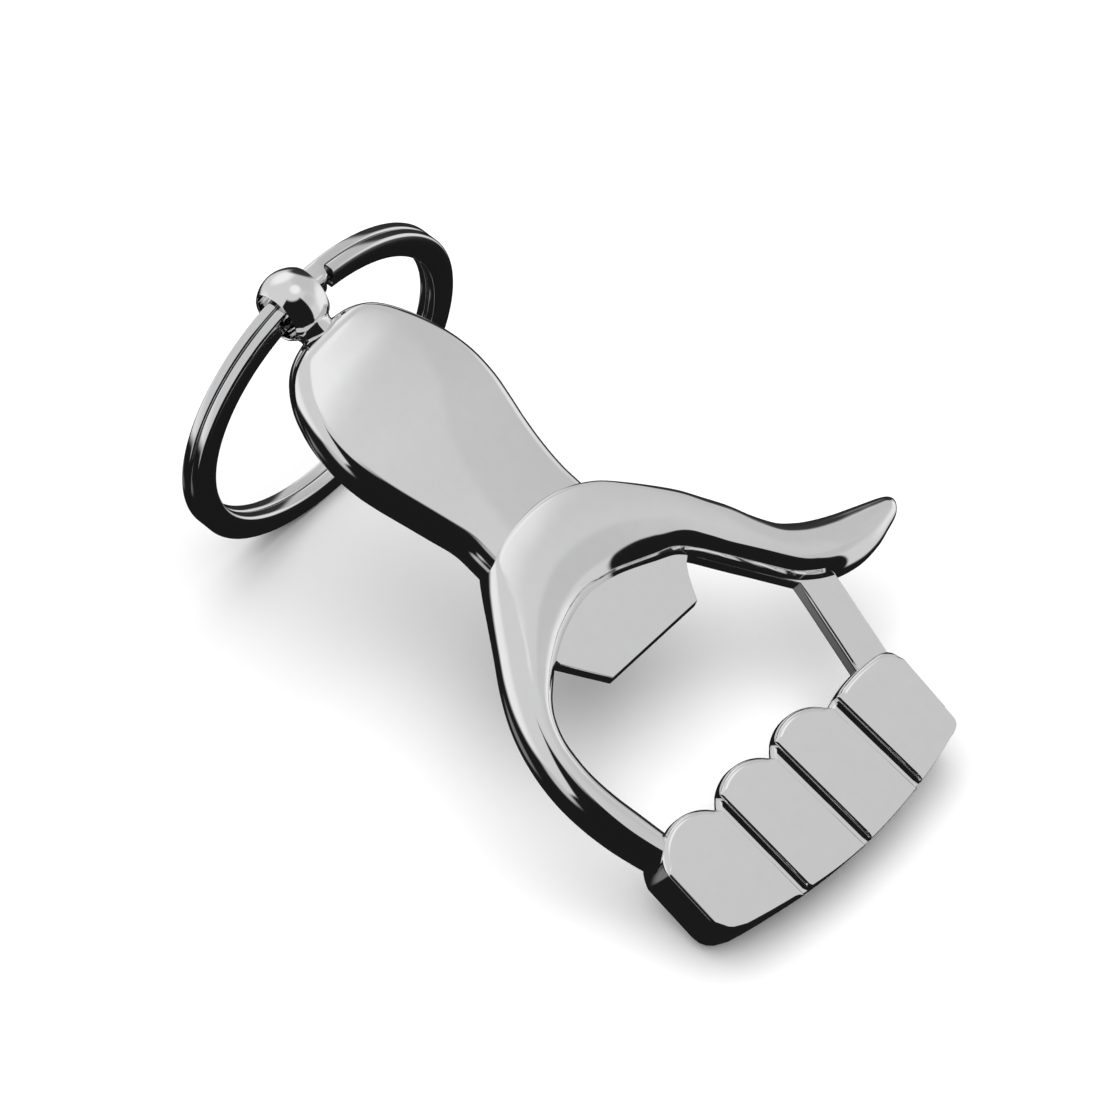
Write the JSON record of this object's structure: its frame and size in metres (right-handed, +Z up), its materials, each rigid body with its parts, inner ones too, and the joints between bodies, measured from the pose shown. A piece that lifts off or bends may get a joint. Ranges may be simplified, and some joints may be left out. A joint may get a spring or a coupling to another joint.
{
  "type": "keychain bottle opener",
  "caption": "Hand-shaped keychain bottle opener: cast hand with a cap-lifting tooth in the grip, a drilled ball at the wrist and a swinging split key ring.",
  "frame": {"origin": "on the ground under the middle of the whole object, as it leans on its standing ring", "axes": "+X from the ring and ball towards the fingers, +Y towards the thumb, +Z up"},
  "size_m": [0.0609, 0.0406, 0.0312],
  "materials": {
    "hand_chrome": "mirror-polished nickel-chrome plating on a zinc casting",
    "plate_chrome": "polished plated steel plate with crisp edges",
    "eye_chrome": "mirror-polished plated ball",
    "ring_nickel": "bright nickel-plated spring steel wire"
  },
  "bodies": {
    "opener": {"hand_casting": "hand_chrome", "opener_plate": "plate_chrome", "ball_eye": "eye_chrome"},
    "ring": {"split_ring": "ring_nickel"}
  },
  "joints": [
    {"name": "ring_swing", "type": "hinge", "parent": "opener", "child": "ring", "pos_m": [-0.0275, -0.0077, 0.0282], "axis": [0, 1, 0], "range_deg": [-55, 284]}
  ]
}
